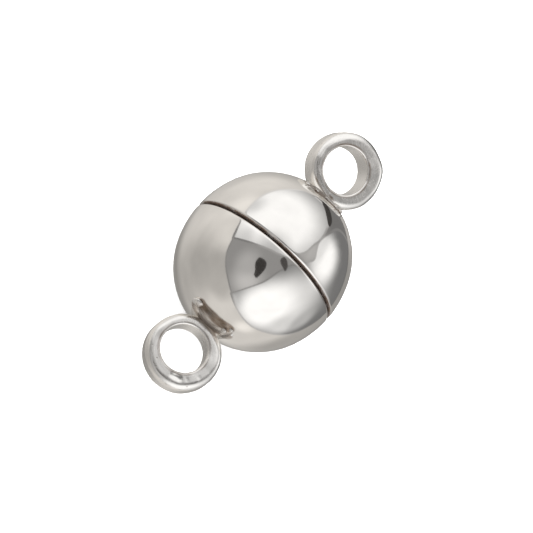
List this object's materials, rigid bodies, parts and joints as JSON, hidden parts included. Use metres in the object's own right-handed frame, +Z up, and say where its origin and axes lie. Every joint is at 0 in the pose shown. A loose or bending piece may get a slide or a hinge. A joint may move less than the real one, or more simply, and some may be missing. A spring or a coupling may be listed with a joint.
{
  "type": "magnetic ball clasp",
  "caption": "Silver ball clasp for a necklace or bracelet: two looped cups that close on disc magnets, pull apart along their axis and swivel on it.",
  "frame": {"origin": "on the surface that the clasp lies on, under the middle of the seam", "axes": "+X along the clasp from the left loop to the right loop, +Z up along the left loop's hole"},
  "size_m": [0.0154, 0.008, 0.008],
  "materials": {
    "silver": "mirror-polished silver, with fine wear on the loops",
    "magnet_plating": "satin nickel plating"
  },
  "bodies": {
    "left": {"left_half": "silver", "left_magnet": "magnet_plating"},
    "pull": {"right_magnet": "magnet_plating"},
    "right": {"right_half": "silver"}
  },
  "joints": [
    {"name": "pull_apart", "type": "slide", "parent": "left", "child": "pull", "axis": [1, 0, 0], "range_m": [0, 0.012]},
    {"name": "swivel", "type": "hinge", "parent": "pull", "child": "right", "pos_m": [0, 0, 0.004], "axis": [1, 0, 0], "continuous": true}
  ]
}
